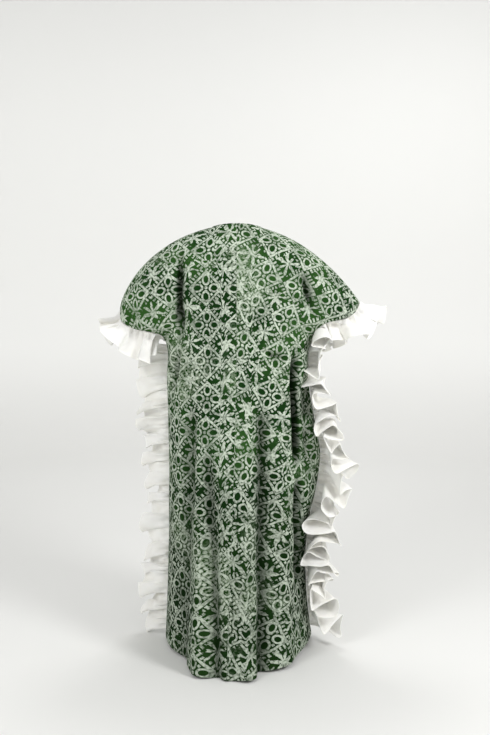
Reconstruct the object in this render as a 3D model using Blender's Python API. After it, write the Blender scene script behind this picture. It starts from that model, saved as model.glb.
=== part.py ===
"""Kaftan dress: printed back and front panels, white ruffles round both arm openings and down both sides.

Metres, +Z up. The wearer faces -Y, so the centre back lies at +Y, and +X is the wearer's left.
The origin is on the shoulder line between the shoulders, SHOULDER_HEIGHT above the floor.

Every panel is a sheet of points P(across, drop). across runs from -1 at the wearer's right edge to 1 at the
left edge, and drop from 0 on the shoulder line to 1 at the hem. Heights in the tables are above the floor.
"""

import math

import bpy
import numpy as np

# Driving sizes
SHOULDER_HEIGHT = 1.44
PANEL_WALL = 0.002
RUFFLE_WALL = 0.0016
SEAM_GAP = 0.0003
NECK_HALF_WIDTH = 0.088
NECK_BACK_REACH = 0.075
NECK_FRONT_REACH = 0.105
NECK_FRONT_DROP = 0.062

# How the cloth turns over the shoulders and round the body
UNDERARM_DROP = 0.18
SHOULDER_ROUND = 0.07

# How finely each piece is drawn
NECK_COLUMNS = 3
SIDE_COLUMNS = 11
YOKE_ROWS = 8
YOKE_CROWDING = 1.3
SKIRT_ROWS = 20
WAVE_COLUMNS = 9
RUFFLE_ROWS = 5
CREASE_ANGLE = math.radians(60)
NEAR = 1e-9

BACK = 1
FRONT = -1
LEFT = 1
RIGHT = -1


def table(columns, *rows):
    """Returns {column name: its numbers} for rows written under the named columns."""
    return dict(zip(columns.split(), np.array(rows, float).T))


# The panels' side edges: out to the sleeve tip, in along the arm opening, then down the side seam.
# opening is how far each panel's edge stands from the arm's middle line, and seam is that line's own Y. The
# larger the arch, the more the cloth slopes straight from the neck to the edge instead of rounding over.
SIDES = table(
    "drop  left_x left_z left_seam left_arch  right_x right_z right_seam right_arch  opening",
    (0.00, 0.409, 1.156, 0.000, 1.28, 0.427, 1.184, 0.000, 1.85, 0.000),
    (0.03, 0.398, 1.122, 0.000, 1.34, 0.410, 1.152, 0.000, 1.85, 0.046),
    (0.07, 0.352, 1.093, -0.002, 1.42, 0.362, 1.126, 0.002, 1.80, 0.070),
    (0.11, 0.298, 1.082, -0.006, 1.46, 0.304, 1.112, 0.004, 1.72, 0.070),
    (0.15, 0.258, 1.066, -0.010, 1.50, 0.268, 1.082, 0.006, 1.64, 0.046),
    (0.18, 0.247, 1.036, -0.014, 1.50, 0.255, 1.040, 0.008, 1.60, 0.000),
    (0.30, 0.246, 0.905, -0.030, 1.50, 0.250, 0.905, 0.014, 1.50, 0.000),
    (0.40, 0.243, 0.785, -0.042, 1.50, 0.268, 0.785, 0.020, 1.50, 0.000),
    (0.50, 0.241, 0.660, -0.050, 1.50, 0.288, 0.660, 0.024, 1.50, 0.000),
    (0.58, 0.240, 0.560, -0.052, 1.50, 0.278, 0.560, 0.020, 1.50, 0.000),
    (0.68, 0.241, 0.430, -0.050, 1.50, 0.250, 0.430, 0.012, 1.50, 0.000),
    (0.80, 0.243, 0.275, -0.044, 1.50, 0.238, 0.280, 0.006, 1.50, 0.000),
    (0.90, 0.246, 0.145, -0.036, 1.50, 0.244, 0.155, 0.004, 1.50, 0.000),
    (1.00, 0.250, 0.014, -0.028, 1.50, 0.258, 0.030, 0.004, 1.50, 0.000),
)

# The centre of each panel, from the neck to the hem. full is how squarely the panel rounds the body.
MIDDLES = table(
    "drop  back_z back_y back_full  front_z front_y front_full  centre_x",
    (0.00, 1.452, 0.076, 0.80, 1.452, -0.096, 0.80, 0.000),
    (0.07, 1.362, 0.124, 0.78, 1.350, -0.128, 0.80, 0.000),
    (0.18, 1.215, 0.142, 0.74, 1.196, -0.150, 0.76, 0.000),
    (0.30, 1.042, 0.150, 0.74, 1.024, -0.162, 0.76, 0.000),
    (0.45, 0.815, 0.166, 0.80, 0.802, -0.166, 0.80, 0.004),
    (0.60, 0.585, 0.192, 0.95, 0.578, -0.172, 0.85, 0.010),
    (0.80, 0.285, 0.246, 1.20, 0.288, -0.184, 0.90, 0.020),
    (1.00, 0.005, 0.312, 1.45, 0.012, -0.200, 0.95, 0.030),
)

# Folds, each along a straight line seen from behind or from in front. A negative depth is a valley, and a
# fold whose low_z is 0 runs out at the hem.
BACK_FOLDS = table(
    "top_x  top_z  low_x  low_z  width  depth",
    (-0.198, 1.050, -0.208, 0.600, 0.021, -0.052),
    (-0.208, 0.640, -0.214, 0.180, 0.019, -0.040),
    (0.192, 1.390, 0.194, 1.020, 0.020, -0.024),
    (0.194, 1.080, 0.236, 0.820, 0.018, -0.020),
    (-0.215, 1.340, -0.262, 1.100, 0.020, -0.018),
    (-0.070, 1.022, -0.195, 0.985, 0.013, -0.012),
    (-0.070, 1.050, -0.190, 1.024, 0.014, 0.010),
    (0.150, 0.900, 0.190, 0.000, 0.026, -0.016),
    (0.104, 0.740, 0.064, 0.000, 0.028, -0.020),
    (0.110, 0.480, 0.118, 0.000, 0.026, 0.016),
    (-0.020, 0.460, -0.036, 0.000, 0.026, 0.016),
    (-0.083, 0.880, -0.090, 0.000, 0.027, -0.024),
    (-0.146, 0.700, -0.160, 0.000, 0.026, 0.010),
    (0.075, 1.300, 0.120, 0.960, 0.030, -0.008),
    (-0.120, 1.330, -0.150, 1.080, 0.028, -0.009),
)
FRONT_FOLDS = table(
    "top_x  top_z  low_x  low_z  width  depth",
    (0.205, 1.330, 0.190, 0.700, 0.022, -0.022),
    (-0.210, 1.330, -0.200, 0.640, 0.022, -0.024),
    (0.100, 1.240, 0.110, 0.000, 0.030, -0.018),
    (-0.092, 1.200, -0.110, 0.000, 0.030, -0.018),
    (0.010, 0.980, 0.004, 0.000, 0.032, 0.014),
    (0.178, 0.720, 0.186, 0.000, 0.026, 0.014),
    (-0.182, 0.700, -0.180, 0.000, 0.026, 0.014),
    (0.056, 0.760, 0.060, 0.000, 0.024, -0.012),
    (-0.052, 0.700, -0.056, 0.000, 0.024, -0.012),
)
# A fold fades in over FOLD_FADE at its ends, and dies away just before the side edges and the shoulder.
FOLD_FADE = 0.13
EDGE_HOLD = 10
SHOULDER_HOLD = 0.035

# The ruffles: a side strip from under the arm to the hem, and a sleeve strip round each arm opening.
# start and end are shares of the edge that each is sewn along, and waves its full waves.
RUFFLES = table(
    "side  is_sleeve  start  end  waves  seed",
    (LEFT, 0, 0.002, 0.985, 14, 12),
    (RIGHT, 0, 0.002, 0.975, 14, 57),
    (LEFT, 1, 0.085, 0.910, 6, 20),
    (RIGHT, 1, 0.085, 0.910, 6, 24),
)
RUFFLE_NAMES = ("side_ruffle_left", "side_ruffle_right", "sleeve_ruffle_left", "sleeve_ruffle_right")

# How each side strip hangs from the underarm, 0, to the hem, 1. turn is the way it points, in degrees from
# straight out sideways towards the back. swell is how far its waves swing, and droop how far its edge sinks.
LEFT_HANG = table(
    "drop  turn  width  swell  droop",
    (0.00, -4, 0.094, 0.008, -0.012),
    (0.09, -20, 0.112, 0.020, 0.046),
    (0.30, -46, 0.110, 0.024, 0.046),
    (0.65, -50, 0.112, 0.024, 0.044),
    (0.94, -44, 0.112, 0.022, 0.034),
    (1.00, -40, 0.080, 0.014, 0.020),
)
RIGHT_HANG = table(
    "drop  turn  width  swell  droop",
    (0.00, 10, 0.094, 0.010, -0.012),
    (0.08, 60, 0.120, 0.040, 0.046),
    (0.15, 74, 0.126, 0.058, 0.050),
    (0.25, 66, 0.126, 0.052, 0.050),
    (0.38, 34, 0.124, 0.036, 0.042),
    (0.54, 66, 0.132, 0.062, 0.048),
    (0.78, 64, 0.132, 0.058, 0.046),
    (0.92, 38, 0.128, 0.040, 0.030),
    (1.00, 26, 0.092, 0.020, 0.016),
)

# How each sleeve strip hangs, from under the arm in front, 0, over the sleeve tip to under the arm behind, 1.
# x, y and z are the way it points, with x out sideways.
SLEEVE_HANG = table(
    "drop  x  y  z  width  swell",
    (0.00, 0.50, -0.36, -0.78, 0.050, 0.007),
    (0.12, 0.46, -0.40, -0.80, 0.088, 0.016),
    (0.25, 0.42, -0.42, -0.85, 0.096, 0.022),
    (0.38, 0.62, -0.46, -0.66, 0.102, 0.018),
    (0.50, 0.90, 0.00, -0.42, 0.104, 0.010),
    (0.62, 0.62, 0.46, -0.66, 0.102, 0.018),
    (0.75, 0.42, 0.42, -0.85, 0.096, 0.022),
    (0.88, 0.46, 0.40, -0.80, 0.088, 0.016),
    (1.00, 0.50, 0.36, -0.78, 0.050, 0.007),
)

# The gathers: their height at the seam, how quickly they open out across the strip, how far each lobe bulges
# over the next and sinks, how uneven they and their reach are, and by what share of its width the strip has
# turned to the way that it hangs. A bend is the stretch of seam, to each side, that the strip's direction is
# averaged over.
SEAM_SWELL = 0.004
WAVE_GROWTH = 0.8
LOBE_ROUND = 0.30
LOBE_SAG = 0.8
UNEVEN = 0.32
UNEVEN_REACH = 0.15
TURN_SPAN = 0.5
SLEEVE_BEND = 0.030
SIDE_BEND = 0.060

# Colours are linear
PRINT_COLOUR = (0.10, 0.17, 0.09)
PRINT_ROUGHNESS = 0.85
WHITE_COLOUR = (0.80, 0.79, 0.75)
WHITE_ROUGHNESS = 0.8


def smooth_step(value):
    value = np.clip(value, 0, 1)
    return value * value * (3 - 2 * value)


def read(sheet, column, drop):
    """A table's column read at each drop, along smooth curves that don't overshoot its rows."""
    at, values = sheet["drop"], sheet[column]
    secants = np.diff(values) / np.diff(at)
    slopes = np.gradient(values, at)
    slopes[1:-1] *= secants[1:] * secants[:-1] > 0
    low = np.clip(np.searchsorted(at, drop, side="right") - 1, 0, len(at) - 2)
    length = at[low + 1] - at[low]
    part = np.clip((drop - at[low]) / length, 0, 1)
    return (
        values[low] * (1 + 2 * part) * (1 - part) ** 2
        + values[low + 1] * part**2 * (3 - 2 * part)
        + length * part * (1 - part) * (slopes[low] * (1 - part) - slopes[low + 1] * part)
    )


def both_sides(sheet, column, across, drop):
    """The left or right edge's value, whichever edge the point is nearer."""
    return np.where(across >= 0, read(sheet, "left_" + column, drop), read(sheet, "right_" + column, drop))


def base_sheet(face, across, drop):
    """The panel's form without its folds: BACK or FRONT, on arrays of across and drop."""
    name = "back" if face == BACK else "front"
    angle = across * math.pi / 2
    reach = np.cos(angle).clip(0, 1)
    turned = np.sqrt(1 - (1 - np.clip(drop / SHOULDER_ROUND, 0, 1)) ** 2)
    centre_x = read(MIDDLES, "centre_x", drop)
    edge_x = both_sides(SIDES, "x", across, drop) * np.where(across >= 0, 1, -1)
    x = centre_x * reach + (edge_x - centre_x * reach) * np.abs(np.sin(angle))
    edge_y = both_sides(SIDES, "seam", across, drop) + face * read(SIDES, "opening", drop)
    middle_y = read(MIDDLES, name + "_y", drop)
    full = read(MIDDLES, name + "_full", drop)
    neck = np.sqrt(np.clip(1 - (x / NECK_HALF_WIDTH) ** 2, 0, 1))
    neck_reach = NECK_BACK_REACH if face == BACK else -NECK_FRONT_REACH
    y = edge_y + (middle_y - edge_y) * reach**full * turned + neck_reach * neck * (1 - turned)
    arch = both_sides(SIDES, "arch", across, drop)
    edge_z = both_sides(SIDES, "z", across, drop)
    z = edge_z + (read(MIDDLES, name + "_z", drop) - edge_z) * reach**arch
    if face == FRONT:
        z = z - NECK_FRONT_DROP * neck * (1 - np.clip(drop / SHOULDER_ROUND, 0, 1))
    return np.stack([x, y, z - SHOULDER_HEIGHT], axis=-1)


def unit(vectors):
    return vectors / np.linalg.norm(vectors, axis=-1, keepdims=True)


def out_from(points, face):
    """Unit normals of a grid of points whose rows run down and whose columns run towards +X."""
    down = np.gradient(points, axis=0)
    over = np.gradient(points, axis=1)
    return unit(np.cross(over, down)) * face


def fold_height(folds, x, z):
    """How far the folds lift each point of the base sheet along its normal."""
    height = np.zeros_like(x)
    for top_x, top_z, low_x, low_z, width, depth in zip(*folds.values()):
        run = np.array([low_x - top_x, low_z - top_z])
        length = np.hypot(*run)
        run = run / length
        along = (x - top_x) * run[0] + (z - top_z) * run[1]
        aside = (x - top_x) * run[1] - (z - top_z) * run[0]
        fade = smooth_step(along / FOLD_FADE)
        if low_z > 0:
            fade = fade * smooth_step((length - along) / FOLD_FADE)
        height += depth * fade * np.exp(-((aside / width) ** 2))
    return height


def folded_sheet(face, across, drop):
    """The panel's middle surface with its folds, and its unit normals."""
    base = base_sheet(face, across, drop)
    out = out_from(base, face)
    folds = BACK_FOLDS if face == BACK else FRONT_FOLDS
    hold = (1 - np.abs(across) ** EDGE_HOLD) * smooth_step(drop / SHOULDER_HOLD)
    height = fold_height(folds, base[..., 0], base[..., 2] + SHOULDER_HEIGHT) * hold
    points = base + out * height[..., None]
    return points, out_from(points, face)


def seam_normals(out, flat_axis):
    """Normals turned into the plane of a seam, so that the two pieces' edges face each other squarely."""
    out = out.copy()
    out[..., flat_axis] = 0
    return unit(out)


def columns_to_edge():
    """across, from the centre to an edge, with columns at the neck's corner."""
    neck = 2 / math.pi * math.asin(NECK_HALF_WIDTH / SIDES["left_x"][0])
    beside_neck = np.linspace(neck, 1, SIDE_COLUMNS + 1)
    return np.concatenate([np.linspace(0, neck, NECK_COLUMNS + 1), beside_neck[1:]])


def panel_drops():
    """drop for each row of points, closest together over the shoulders."""
    yoke = UNDERARM_DROP * np.linspace(0, 1, YOKE_ROWS + 1) ** YOKE_CROWDING
    return np.concatenate([yoke, np.linspace(UNDERARM_DROP, 1, SKIRT_ROWS + 1)[1:]])


def panel(name, face, half, material):
    """One cut piece: the left or right half of a panel, or the whole of it where half is 0."""
    side = columns_to_edge()
    across = {LEFT: side, RIGHT: -side[::-1], 0: np.concatenate([-side[:0:-1], side])}[half]
    drop = panel_drops()
    # The sheet is worked out across the whole panel, so that both halves agree at the centre seam.
    points, out = folded_sheet(face, *np.meshgrid(np.concatenate([-side[:0:-1], side]), drop))
    middle = len(side) - 1
    keep = {LEFT: slice(middle, None), RIGHT: slice(0, middle + 1), 0: slice(None)}[half]
    points, out = points[:, keep].copy(), out[:, keep].copy()
    shoulder = np.abs(points[0, :, 0]) >= NECK_HALF_WIDTH - SEAM_GAP
    out[0, shoulder] = seam_normals(out[0, shoulder], 1)
    points[0, shoulder, 1] += face * SEAM_GAP / 2
    below_arm = drop >= UNDERARM_DROP - NEAR
    for column in (0, -1):
        if abs(across[column]) == 1:
            out[below_arm, column] = seam_normals(out[below_arm, column], 1)
            points[below_arm, column, 1] += face * SEAM_GAP / 2
        else:
            out[:, column] = seam_normals(out[:, column], 0)
            points[:, column, 0] += half * SEAM_GAP / 2
    return wall(name, points, out, PANEL_WALL, material)


def wall(name, points, out, thickness, material):
    """A closed wall round a grid of middle points: outer and inner faces, and a rim round the edge."""
    rows, columns = points.shape[:2]
    half = out * thickness / 2
    corners = np.concatenate([(points + half).reshape(-1, 3), (points - half).reshape(-1, 3)])
    outer = np.arange(rows * columns).reshape(rows, columns)
    a, b, c, d = outer[:-1, :-1], outer[:-1, 1:], outer[1:, 1:], outer[1:, :-1]
    outside = np.concatenate([np.stack([a, b, c], -1).reshape(-1, 3), np.stack([a, c, d], -1).reshape(-1, 3)])
    inside = outside[:, ::-1] + rows * columns
    loop = np.concatenate([outer[0, :-1], outer[:-1, -1], outer[-1, :0:-1], outer[:0:-1, 0]])
    after = np.roll(loop, -1)
    deep, deep_after = loop + rows * columns, after + rows * columns
    rim = np.concatenate([np.stack([after, loop, deep], -1), np.stack([after, deep, deep_after], -1)])
    faces = np.concatenate([outside, inside, rim])
    if np.linalg.det(corners[faces]).sum() < 0:
        faces = faces[:, ::-1]
    mesh = bpy.data.meshes.new(name)
    mesh.from_pydata(corners.tolist(), [], faces.tolist())
    mesh.materials.append(material)
    mesh.shade_smooth()
    mesh.set_sharp_from_angle(angle=CREASE_ANGLE)
    piece = bpy.data.objects.new(name, mesh)
    bpy.context.scene.collection.objects.link(piece)
    return piece


def edge_line(side, drop, face):
    """The panel's edge on one side, as its middle surface has it, at each drop."""
    name = "left" if side == LEFT else "right"
    x, z, seam = (read(SIDES, f"{name}_{column}", drop) for column in ("x", "z", "seam"))
    y = seam + face * read(SIDES, "opening", drop)
    return np.stack([side * x, y, z - SHOULDER_HEIGHT], axis=-1)


def seam_path(side, is_sleeve):
    """The points that a ruffle is sewn along: the side seam, or the whole edge of the arm opening."""
    rows = panel_drops()
    if is_sleeve:
        yoke = rows[rows <= UNDERARM_DROP + NEAR]
        front, back = (edge_line(side, yoke, face) for face in (FRONT, BACK))
        return np.concatenate([front[::-1], back[1:]])
    return edge_line(side, rows[rows >= UNDERARM_DROP - NEAR], 0)


def lengths_along(path):
    """How far along the path each of its points lies."""
    return np.concatenate([[0], np.cumsum(np.linalg.norm(np.diff(path, axis=0), axis=1))])


def read_along(path, values, share):
    """Vectors given at a path's points, read at shares of its length."""
    lengths = lengths_along(path)
    return np.stack([np.interp(share * lengths[-1], lengths, values[:, k]) for k in range(3)], axis=-1)


def leaving_way(side, is_sleeve, share):
    """The way that the sewn edge faces: on from the panel at the arm opening, straight out at a side seam."""
    if not is_sleeve:
        return np.broadcast_to(np.array([side, 0.0, 0.0]), (len(share), 3))
    yoke = panel_drops()[panel_drops() <= UNDERARM_DROP + NEAR]
    inner = side * columns_to_edge()[-2]
    ways = []
    for face in (FRONT, BACK):
        sheet = base_sheet(face, *np.meshgrid(np.array([inner, float(side)]), yoke))
        ways.append(unit(sheet[:, 1] - sheet[:, 0]))
    ways[0][0] = ways[1][0] = unit(ways[0][0] + ways[1][0])
    return unit(read_along(seam_path(side, is_sleeve), np.concatenate([ways[0][::-1], ways[1][1:]]), share))


def ruffle(name, row, material):
    """One gathered strip: waves that start small at the seam and open out to round lobes at the free edge."""
    side, is_sleeve, start, end, waves, seed = row
    chance = np.random.default_rng(int(seed))
    waves = int(waves)
    phase = np.linspace(0, waves, waves * WAVE_COLUMNS + 1)

    def lobes(spread):
        """A factor that changes from lobe to lobe, and smoothly between them."""
        knots = np.arange(2 * waves + 1) / 2
        return np.interp(phase, knots, 1 + spread * chance.uniform(-1, 1, len(knots)))

    steps = np.concatenate([[0], np.cumsum(1 + UNEVEN * chance.uniform(-1, 1, waves))])
    share = start + (end - start) * np.interp(phase, np.arange(waves + 1), steps / steps[-1])
    path = seam_path(side, is_sleeve)
    length = lengths_along(path)[-1]
    bend = (SLEEVE_BEND if is_sleeve else SIDE_BEND) / length
    before, seam, after = (read_along(path, path, np.clip(share + step, 0, 1)) for step in (-bend, 0, bend))
    tangent = unit(after - before)
    hang = SLEEVE_HANG if is_sleeve else (LEFT_HANG if side == LEFT else RIGHT_HANG)
    reach = lobes(UNEVEN_REACH) * read(hang, "width", share)
    rise = lobes(UNEVEN) * read(hang, "swell", share)
    if is_sleeve:
        aim = unit(np.stack([read(hang, axis, share) for axis in "xyz"], axis=-1) * (side, 1, 1))
        droop = 0 * share
    else:
        angle = np.radians(read(hang, "turn", share) * lobes(UNEVEN))
        aim = np.stack([side * np.cos(angle), np.sin(angle), 0 * angle], axis=-1)
        droop = read(hang, "droop", share)
    across = np.linspace(0, 1, RUFFLE_ROWS + 1)[:, None]
    turned = smooth_step(across / TURN_SPAN)[..., None]
    leaving = leaving_way(side, is_sleeve, share)
    leaving = unit(leaving - tangent * (leaving * tangent).sum(-1, keepdims=True))
    aim = leaving * (1 - turned) + aim * turned
    aim = unit(aim - tangent * (aim * tangent).sum(-1, keepdims=True))
    step = reach[:, None] / RUFFLE_ROWS * (aim[1:] + aim[:-1]) / 2
    middle = seam + np.concatenate([0 * step[:1], np.cumsum(step, axis=0)])
    middle = middle + leaving * (SEAM_GAP + (0 if is_sleeve else PANEL_WALL / 2))
    cross = unit(np.cross(tangent, aim))
    wave = SEAM_SWELL + (rise - SEAM_SWELL) * across**WAVE_GROWTH
    spacing = length * np.gradient(share, phase)
    turnover = LOBE_ROUND * spacing / (2 * math.pi) * across
    sag = (0 if is_sleeve else LOBE_SAG) * spacing / (2 * math.pi) * across
    angle = 2 * math.pi * phase
    points = middle + cross * (wave * np.sin(angle))[..., None]
    points -= tangent * (turnover * np.sin(2 * angle))[..., None]
    points[..., 2] -= droop * across**2 - sag * np.cos(2 * angle) / 2
    out = unit(np.cross(np.gradient(points, axis=0), np.gradient(points, axis=1)))
    out[0] = unit(out[0] - leaving * (out[0] * leaving).sum(-1, keepdims=True))
    return wall(name, points, out, RUFFLE_WALL, material)


def cloth(name, colour, roughness):
    material = bpy.data.materials.new(name)
    material.use_nodes = True
    shader = material.node_tree.nodes["Principled BSDF"]
    shader.inputs["Base Color"].default_value = (*colour, 1)
    shader.inputs["Roughness"].default_value = roughness
    material.diffuse_color = (*colour, 1)
    return material


def main():
    for thing in list(bpy.data.objects):
        bpy.data.objects.remove(thing)
    printed = cloth("printed_cotton", PRINT_COLOUR, PRINT_ROUGHNESS)
    white = cloth("white_ruffle_cloth", WHITE_COLOUR, WHITE_ROUGHNESS)
    panel("back_left", BACK, LEFT, printed)
    panel("back_right", BACK, RIGHT, printed)
    panel("front", FRONT, 0, printed)
    for name, row in zip(RUFFLE_NAMES, zip(*RUFFLES.values())):
        ruffle(name, row, white)


main()
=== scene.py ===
"""Kaftan dress: block-printed green cotton panels and gathered white ruffles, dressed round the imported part.

Metres, +Z up. The front of the dress faces -Y, so its back lies at +Y and its left side at +X. Each panel is
a sheet of points P(across, drop): across runs from -1 at the right edge to 1 at the left, and drop from 0 on
the shoulder line to 1 at the hem. Heights in the tables are above the floor, which is SHOULDER_HEIGHT under
the origin.
"""

import math

import bpy
import numpy as np
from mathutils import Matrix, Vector


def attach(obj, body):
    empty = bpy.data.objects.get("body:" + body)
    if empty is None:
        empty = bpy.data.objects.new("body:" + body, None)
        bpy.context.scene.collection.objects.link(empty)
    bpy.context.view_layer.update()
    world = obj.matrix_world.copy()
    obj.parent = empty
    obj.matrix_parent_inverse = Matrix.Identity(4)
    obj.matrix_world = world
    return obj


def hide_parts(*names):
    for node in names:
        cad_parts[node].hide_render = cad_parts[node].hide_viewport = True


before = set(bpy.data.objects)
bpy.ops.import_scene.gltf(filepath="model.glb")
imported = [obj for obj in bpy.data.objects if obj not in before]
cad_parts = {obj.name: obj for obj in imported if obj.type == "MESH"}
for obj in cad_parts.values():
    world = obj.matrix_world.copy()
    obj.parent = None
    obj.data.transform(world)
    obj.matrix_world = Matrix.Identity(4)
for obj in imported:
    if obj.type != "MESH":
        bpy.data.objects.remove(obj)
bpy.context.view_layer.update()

# Driving sizes, the same as the solids'
SHOULDER_HEIGHT = 1.44
PANEL_WALL = 0.002
SEAM_GAP = 0.0003
NECK_HALF_WIDTH = 0.088
NECK_BACK_REACH = 0.075
NECK_FRONT_REACH = 0.105
NECK_FRONT_DROP = 0.062
UNDERARM_DROP = 0.18
SHOULDER_ROUND = 0.07

# Real cloth is thinner than the solids' walls
COTTON = 0.0010
RUFFLE_COTTON = 0.0007

# How finely each piece is drawn
NECK_COLUMNS = 18
SIDE_COLUMNS = 66
YOKE_ROWS = 64
YOKE_CROWDING = 1.9
SKIRT_ROWS = 168
WAVE_COLUMNS = 30
RUFFLE_ROWS = 36
CREASE_ANGLE = math.radians(50)
NEAR = 1e-9

BACK = 1
FRONT = -1
LEFT = 1
RIGHT = -1


def table(columns, *rows):
    """Returns {column name: its numbers} for rows written under the named columns."""
    return dict(zip(columns.split(), np.array(rows, float).T))


# The panels' side edges: out to the sleeve tip, in along the arm opening, then down the side seam.
# opening is how far each panel's edge stands from the arm's middle line, and seam is that line's own Y. The
# larger the arch, the more the cloth slopes straight from the neck to the edge instead of rounding over.
SIDES = table(
    "drop  left_x left_z left_seam left_arch  right_x right_z right_seam right_arch  opening",
    (0.00, 0.409, 1.156, 0.000, 1.28, 0.427, 1.184, 0.000, 1.85, 0.000),
    (0.03, 0.398, 1.122, 0.000, 1.34, 0.410, 1.152, 0.000, 1.85, 0.046),
    (0.07, 0.352, 1.093, -0.002, 1.42, 0.362, 1.126, 0.002, 1.80, 0.070),
    (0.11, 0.298, 1.082, -0.006, 1.46, 0.304, 1.112, 0.004, 1.72, 0.070),
    (0.15, 0.258, 1.066, -0.010, 1.50, 0.268, 1.082, 0.006, 1.64, 0.046),
    (0.18, 0.247, 1.036, -0.014, 1.50, 0.255, 1.040, 0.008, 1.60, 0.000),
    (0.30, 0.246, 0.905, -0.030, 1.50, 0.250, 0.905, 0.014, 1.50, 0.000),
    (0.40, 0.243, 0.785, -0.042, 1.50, 0.268, 0.785, 0.020, 1.50, 0.000),
    (0.50, 0.241, 0.660, -0.050, 1.50, 0.288, 0.660, 0.024, 1.50, 0.000),
    (0.58, 0.240, 0.560, -0.052, 1.50, 0.278, 0.560, 0.020, 1.50, 0.000),
    (0.68, 0.241, 0.430, -0.050, 1.50, 0.250, 0.430, 0.012, 1.50, 0.000),
    (0.80, 0.243, 0.275, -0.044, 1.50, 0.238, 0.280, 0.006, 1.50, 0.000),
    (0.90, 0.246, 0.145, -0.036, 1.50, 0.244, 0.155, 0.004, 1.50, 0.000),
    (1.00, 0.250, 0.014, -0.028, 1.50, 0.258, 0.030, 0.004, 1.50, 0.000),
)

# The centre of each panel, from the neck to the hem. full is how squarely the panel rounds the body.
MIDDLES = table(
    "drop  back_z back_y back_full  front_z front_y front_full  centre_x",
    (0.00, 1.452, 0.076, 0.80, 1.452, -0.096, 0.80, 0.000),
    (0.07, 1.362, 0.124, 0.78, 1.350, -0.128, 0.80, 0.000),
    (0.18, 1.215, 0.142, 0.74, 1.196, -0.150, 0.76, 0.000),
    (0.30, 1.042, 0.150, 0.74, 1.024, -0.162, 0.76, 0.000),
    (0.45, 0.815, 0.166, 0.80, 0.802, -0.166, 0.80, 0.004),
    (0.60, 0.585, 0.192, 0.95, 0.578, -0.172, 0.85, 0.010),
    (0.80, 0.285, 0.246, 1.20, 0.288, -0.184, 0.90, 0.020),
    (1.00, 0.005, 0.312, 1.45, 0.012, -0.200, 0.95, 0.030),
)

# Folds, each along a straight line seen from behind or from in front. A negative depth is a valley, and a
# fold whose low_z is 0 runs out at the hem. The first rows are the solids' own, and those after them finer.
FOLD_COLUMNS = "top_x  top_z  low_x  low_z  width  depth"
BACK_FOLDS = table(
    FOLD_COLUMNS,
    (-0.198, 1.050, -0.208, 0.600, 0.013, -0.066),
    (-0.208, 0.640, -0.214, 0.180, 0.013, -0.050),
    (0.192, 1.390, 0.194, 1.020, 0.013, -0.042),
    (0.194, 1.080, 0.236, 0.820, 0.012, -0.030),
    (-0.215, 1.340, -0.262, 1.100, 0.014, -0.036),
    (-0.070, 1.022, -0.195, 0.985, 0.008, -0.018),
    (-0.070, 1.046, -0.190, 1.012, 0.012, 0.012),
    (-0.050, 1.060, -0.190, 1.046, 0.007, -0.010),
    (-0.095, 1.055, -0.140, 0.950, 0.006, -0.010),
    (-0.240, 0.980, -0.250, 0.540, 0.024, -0.024),
    (0.150, 0.900, 0.190, 0.000, 0.022, -0.026),
    (0.104, 0.740, 0.064, 0.000, 0.024, -0.030),
    (0.110, 0.480, 0.118, 0.000, 0.024, 0.022),
    (-0.020, 0.460, -0.036, 0.000, 0.024, 0.022),
    (-0.083, 0.880, -0.090, 0.000, 0.022, -0.036),
    (-0.146, 0.700, -0.160, 0.000, 0.024, 0.016),
    (0.075, 1.300, 0.120, 0.960, 0.030, -0.008),
    (-0.120, 1.330, -0.150, 1.080, 0.028, -0.009),
    (-0.040, 1.010, -0.150, 0.935, 0.008, -0.005),
    (-0.100, 1.060, -0.200, 1.075, 0.009, -0.005),
    (0.060, 1.040, 0.200, 1.085, 0.009, -0.004),
    (0.030, 0.930, 0.190, 0.985, 0.010, -0.003),
    (0.150, 1.250, 0.205, 1.120, 0.010, -0.005),
    (-0.150, 1.250, -0.235, 1.120, 0.011, -0.006),
    (-0.185, 1.300, -0.300, 1.160, 0.012, -0.005),
    (0.200, 1.310, 0.300, 1.140, 0.012, -0.004),
    (-0.120, 0.640, -0.135, 0.250, 0.009, -0.006),
    (0.020, 0.420, 0.014, 0.000, 0.011, -0.007),
    (-0.060, 0.330, -0.058, 0.000, 0.009, 0.005),
    (0.160, 0.560, 0.166, 0.240, 0.010, 0.004),
)
FRONT_FOLDS = table(
    FOLD_COLUMNS,
    (0.205, 1.330, 0.190, 0.700, 0.022, -0.022),
    (-0.210, 1.330, -0.200, 0.640, 0.022, -0.024),
    (0.100, 1.240, 0.110, 0.000, 0.030, -0.018),
    (-0.092, 1.200, -0.110, 0.000, 0.030, -0.018),
    (0.010, 0.980, 0.004, 0.000, 0.032, 0.014),
    (0.178, 0.720, 0.186, 0.000, 0.026, 0.014),
    (-0.182, 0.700, -0.180, 0.000, 0.026, 0.014),
    (0.056, 0.760, 0.060, 0.000, 0.024, -0.012),
    (-0.052, 0.700, -0.056, 0.000, 0.024, -0.012),
    (0.060, 1.090, 0.190, 1.060, 0.010, -0.004),
    (-0.060, 1.080, -0.190, 1.050, 0.010, -0.004),
    (0.150, 1.250, 0.230, 1.120, 0.011, -0.005),
    (-0.150, 1.250, -0.230, 1.120, 0.011, -0.005),
    (0.130, 0.560, 0.136, 0.160, 0.010, -0.005),
    (-0.130, 0.520, -0.138, 0.120, 0.010, -0.005),
    (0.030, 0.420, 0.028, 0.000, 0.010, 0.004),
    (-0.028, 0.380, -0.030, 0.000, 0.010, -0.004),
)
# A fold fades out over this length, and near a panel's edges and its shoulder line
FOLD_FADE = 0.13
EDGE_HOLD = 10
SHOULDER_HOLD = 0.035
# A fold this deep gets the full painted shade
SHADOW_DEPTH = 0.045

# Small rumples all over the cotton: how far apart, how high, and their seed
RUMPLES = ((0.075, 0.0022, 3), (0.034, 0.0011, 4))
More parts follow.
